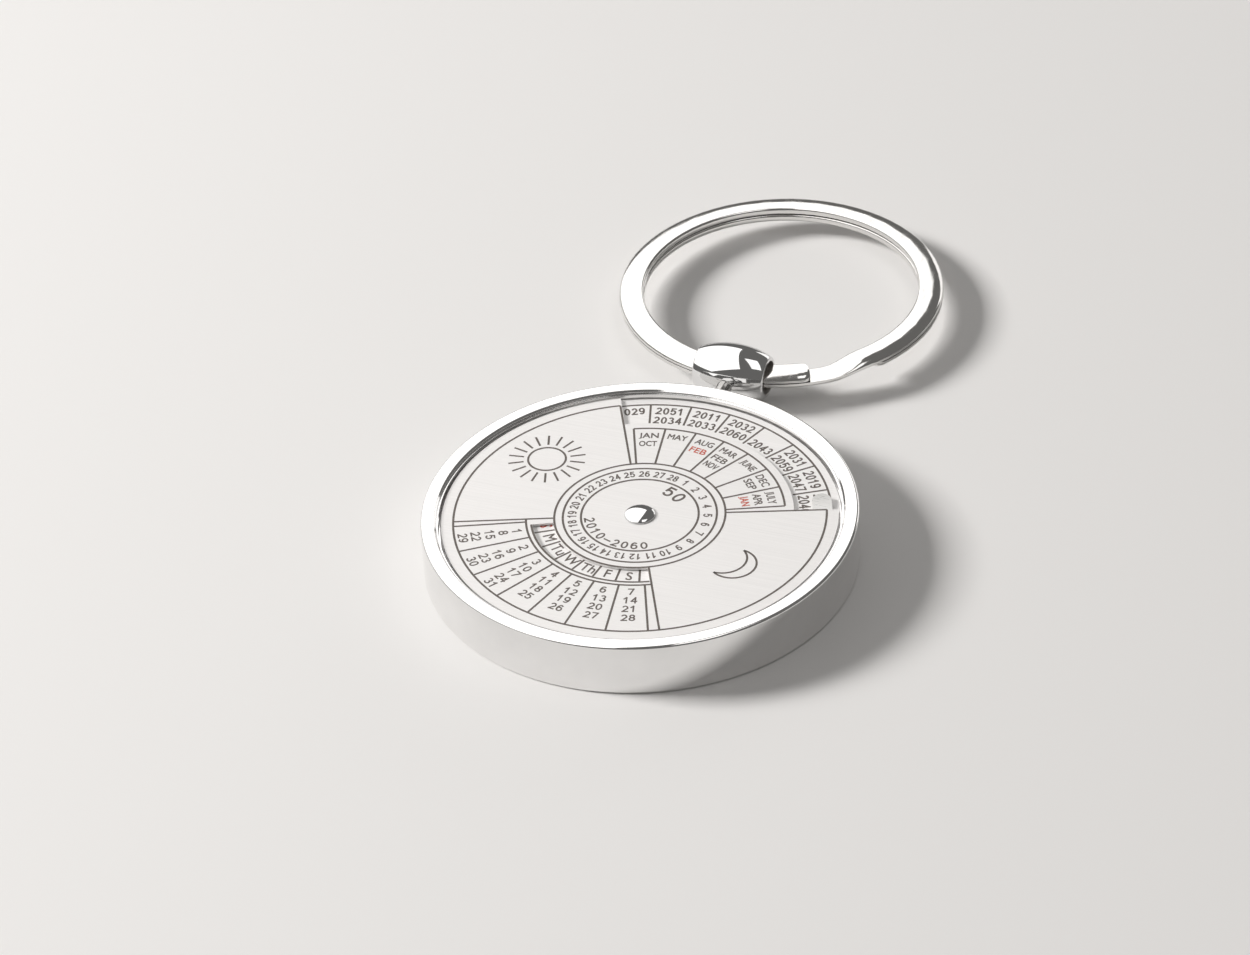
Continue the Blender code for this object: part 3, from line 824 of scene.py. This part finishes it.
def bead_shell(material, bore_material):
    """Barrel of an ellipse's outline, with its bore in a finish of its own."""
    half = BEAD_HALF_LENGTH
    stretch = half / math.sqrt(1.0 - (BEAD_END_RADIUS / BEAD_RADIUS) ** 2.0)
    corners = [(BEAD_HOLE_RADIUS, -half, BEAD_INNER_LIP), (BEAD_END_RADIUS, -half, BEAD_LIP)]
    for step in range(1, BARREL_STEPS):
        along = half * (2.0 * step / BARREL_STEPS - 1.0)
        corners.append((BEAD_RADIUS * math.sqrt(1.0 - (along / stretch) ** 2.0), along, 0.0))
    corners += [(BEAD_END_RADIUS, half, BEAD_LIP), (BEAD_HOLE_RADIUS, half, BEAD_INNER_LIP)]
    middle = (BEAD_LOW + BEAD_HIGH) / 2.0
    place = Matrix.Translation(middle) @ Matrix.Rotation(math.pi / 2.0, 4, "Y")
    item = turned("bead_shell", "ring_bead", rounded(corners), place, material)
    item.data.materials.append(bore_material)
    for face in item.data.polygons:
        across = face.center - middle
        across.x = 0.0
        if across.length < BEAD_HOLE_RADIUS + BEAD_INNER_LIP / 2.0:
            face.material_index = 1


def rivet_dome(material):
    head_low = RIVET_TOP - RIVET_HEAD_HEIGHT - RIVET_HEAD_EDGE
    tail_high = RIVET_LOW + RIVET_TAIL_THICKNESS
    corners = [
        (0.0, RIVET_LOW, 0.0),
        (RIVET_TAIL_RADIUS, RIVET_LOW, RIVET_TAIL_ROUND),
        (RIVET_TAIL_RADIUS, tail_high, 0.0),
        (RIVET_SHANK_RADIUS, tail_high, 0.0),
        (RIVET_SHANK_RADIUS, head_low, 0.0),
        (RIVET_HEAD_RADIUS, head_low, 0.0),
    ]
    for step in range(DOME_STEPS + 1):
        angle = math.pi / 2.0 * step / DOME_STEPS
        height = RIVET_TOP - RIVET_HEAD_HEIGHT * (1.0 - math.sin(angle))
        corners.append((RIVET_HEAD_RADIUS * math.cos(angle), height, 0.0))
    turned("rivet_dome", "center_rivet", rounded(corners), Matrix.Identity(4), material)


# Finer copies of the other pieces

def refined(name, node, material, bevel=PLATE_EDGE):
    """Welded copy of a node with soft edges and smooth round faces."""
    bm = bmesh.new()
    bm.from_mesh(frame["nodes"][node].data)
    bmesh.ops.remove_doubles(bm, verts=bm.verts, dist=WELD_DISTANCE)
    bmesh.ops.dissolve_limit(bm, angle_limit=FLAT_ANGLE, verts=bm.verts, edges=bm.edges)
    bmesh.ops.recalc_face_normals(bm, faces=bm.faces)
    item = make_item(name, bm, material)
    edges = item.modifiers.new("soft_edges", "BEVEL")
    edges.width = bevel
    edges.segments = EDGE_SEGMENTS
    edges.limit_method = "ANGLE"
    edges.angle_limit = SMOOTH_ANGLE
    edges.harden_normals = True
    flats = item.modifiers.new("flat_faces", "WEIGHTED_NORMAL")
    flats.weight = FLAT_WEIGHT
    flats.keep_sharp = True
    smooth(item.data)
    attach(item, frame["nodes"][node]["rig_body"])
    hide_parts(node)
    return item


def wear_tab(item, material):
    """Gives the faces of the thumb tab a darker finish of their own, painted shade of the bent-up tab."""
    item.data.materials.append(material)
    reach = TAB_WIDTH / 2.0 + TAB_MARGIN
    for face in item.data.polygons:
        angle = math.atan2(face.center.x, face.center.y) - DIAL_TURN
        radius = math.hypot(face.center.x, face.center.y)
        if TAB_START < angle < TAB_END and abs(radius - TAB_MIDDLE) < reach:
            face.material_index = 1


def dress(node, material):
    """Gives a node that stays in view its material."""
    slots = frame["nodes"][node].data.materials
    slots.clear()
    slots.append(material)


# Floor, lights and camera

def make_floor():
    bm = bmesh.new()
    bmesh.ops.create_grid(bm, x_segments=1, y_segments=1, size=FLOOR_HALF_WIDTH)
    item = make_item("floor", bm, paper("floor_paper", FLOOR_COLOR))
    item.location.z = cad_box[0].z


def add_light(name, center, along, width, height, power, glossy=True, diffuse=True):
    """Soft box that looks at the case.

    Its place and the direction of its width are given as right, away and up from the camera.
    """
    right = Vector((math.cos(CAMERA_AZIMUTH), math.sin(CAMERA_AZIMUTH), 0.0))
    away = Vector((-math.sin(CAMERA_AZIMUTH), math.cos(CAMERA_AZIMUTH), 0.0))
    view = Matrix((right, away, Vector((0.0, 0.0, 1.0)))).transposed()
    place = view @ Vector(center)
    back = place.normalized()
    side = view @ Vector(along)
    side = (side - back * side.dot(back)).normalized()
    light = bpy.data.lights.new(name, "AREA")
    light.shape = "RECTANGLE"
    light.size = width
    light.size_y = height
    light.energy = power
    light.color = LIGHT_COLOR
    item = bpy.data.objects.new(name, light)
    bpy.context.scene.collection.objects.link(item)
    turn = Matrix((side, back.cross(side), back)).transposed().to_4x4()
    item.matrix_world = Matrix.Translation(place) @ turn
    item.visible_glossy = glossy
    item.visible_diffuse = diffuse


def make_lights():
    key = (KEY_PLACE, KEY_ALONG, KEY_WIDTH, KEY_HEIGHT)
    add_light("key_box", *key, power=6.2, diffuse=False)
    add_light("soft_box", *key, power=1.8, glossy=False)
    add_light("side_lamp", (-0.83, 0.18, 0.53), (0.0, 1.0, 0.0), 0.26, 0.26, power=12.0, glossy=False)
    add_light("top_box", (0.190, -0.088, 0.669), (-0.1, 1.0, 0.0), 0.50, 0.22, power=0.45)
    add_light("edge_card", (0.508, 0.726, 0.156), (0.82, -0.57, 0.0), 0.45, 0.35, power=0.55)


def make_world():
    world = bpy.data.worlds.new("studio")
    world.use_nodes = True
    background = world.node_tree.nodes["Background"]
    background.inputs["Color"].default_value = (*WORLD_COLOR, 1.0)
    background.inputs["Strength"].default_value = WORLD_STRENGTH
    bpy.context.scene.world = world


def make_camera():
    """Camera of the photograph, as position, right, up and backward axes."""
    back = Vector((math.sin(CAMERA_AZIMUTH), -math.cos(CAMERA_AZIMUTH), 0.0)) * math.cos(CAMERA_ELEVATION)
    back.z = math.sin(CAMERA_ELEVATION)
    level = Vector((0.0, 0.0, 1.0)).cross(back).normalized()
    upright = back.cross(level)
    right = level * math.cos(CAMERA_ROLL) + upright * math.sin(CAMERA_ROLL)
    up = upright * math.cos(CAMERA_ROLL) - level * math.sin(CAMERA_ROLL)
    camera = bpy.data.cameras.new("camera")
    camera.sensor_fit = "HORIZONTAL"
    camera.sensor_width = SENSOR_WIDTH
    camera.lens = FOCAL_PIXELS / PHOTO_WIDTH * SENSOR_WIDTH
    camera.clip_start = CAMERA_NEAR
    item = bpy.data.objects.new("camera", camera)
    bpy.context.scene.collection.objects.link(item)
    aim = Vector((0.0, 0.0, CASE_HEIGHT - AIM_BELOW_RIM))
    place = aim + right * CAMERA_RIGHT + up * CAMERA_UP + back * CAMERA_DISTANCE
    item.matrix_world = Matrix.Translation(place) @ Matrix((right, up, back)).transposed().to_4x4()
    bpy.context.scene.camera = item


# The whole keyring

def make_metal():
    case_chrome = polished(
        "case_chrome", (0.86, 0.855, 0.85), roughness=0.045, wear=0.08, waviness=0.10)
    bead_chrome = polished(
        "bead_chrome", (0.80, 0.80, 0.80), roughness=0.03, wear=0.05, waviness=0.06)
    bore_steel = polished(
        "bore_steel", (0.60, 0.575, 0.55), roughness=0.42, wear=0.2, waviness=0.3, metallic=0.45)
    band_nickel = polished(
        "band_nickel", (0.80, 0.79, 0.775), roughness=0.09, wear=0.12, waviness=0.20)
    turned_steel = polished(
        "turned_steel", (0.55, 0.54, 0.53), roughness=0.20, wear=0.10, waviness=0.05)
    dial_metal = brushed(
        "dial_brushed", (0.93, 0.915, 0.905), roughness=0.40, metallic=0.24, turn=-DIAL_TURN, strength=0.25)
    # The thumb tab's darker brushed finish is painted shade of the bent-up tab
    tab_shade_metal = brushed(
        "tab_painted_shade", (0.79, 0.785, 0.77), roughness=0.30, metallic=0.40, turn=-DIAL_TURN, strength=0.15)
    disc_metal = brushed(
        "disc_brushed", (0.97, 0.955, 0.945), roughness=0.42, metallic=0.18, turn=-DIAL_TURN, strength=0.2)
    back_metal = brushed(
        "back_brushed", (0.72, 0.71, 0.70), roughness=0.30, metallic=0.95, turn=0.0, strength=0.22)
    case_shell(case_chrome)
    bead_shell(bead_chrome, bore_steel)
    refined("ring_band", "split_ring", band_nickel, BAND_EDGE)
    rivet_dome(bead_chrome)
    dial = refined("dial_face", "dial_plate", dial_metal)
    wear_tab(dial, tab_shade_metal)
    refined("year_face", "year_disc", disc_metal)
    refined("back_cover", "back_plate", back_metal)
    refined("pin_shank", "swivel_pin", turned_steel)
    dress("rivet_washer", turned_steel)
    dress("friction_washer", matt_film("washer_film", (0.78, 0.77, 0.73)))


def make_prints():
    # The dark ink draws the prints and also the painted shadow line along the weekday window
    dark_ink_and_painted_shadow = ink("dark_ink_and_painted_shadow", (0.105, 0.088, 0.078))
    red_ink = ink("red_ink", (0.53, 0.105, 0.068))
    dial_lines(dark_ink_and_painted_shadow)
    day_numbers(dark_ink_and_painted_shadow)
    month_letters("month_letters", False, dark_ink_and_painted_shadow)
    month_letters("leap_month_letters", True, red_ink)
    hub_numbers(dark_ink_and_painted_shadow)
    sun_figure(dark_ink_and_painted_shadow)
    moon_figure(dark_ink_and_painted_shadow)
    year_lines(dark_ink_and_painted_shadow)
    year_numbers(dark_ink_and_painted_shadow)
    weekday_letters("weekday_letters", False, dark_ink_and_painted_shadow)
    weekday_letters("sunday_letters", True, red_ink)


make_camera()
make_world()
make_floor()
make_lights()
make_metal()
make_prints()
bpy.context.scene.view_settings.view_transform = "Standard"
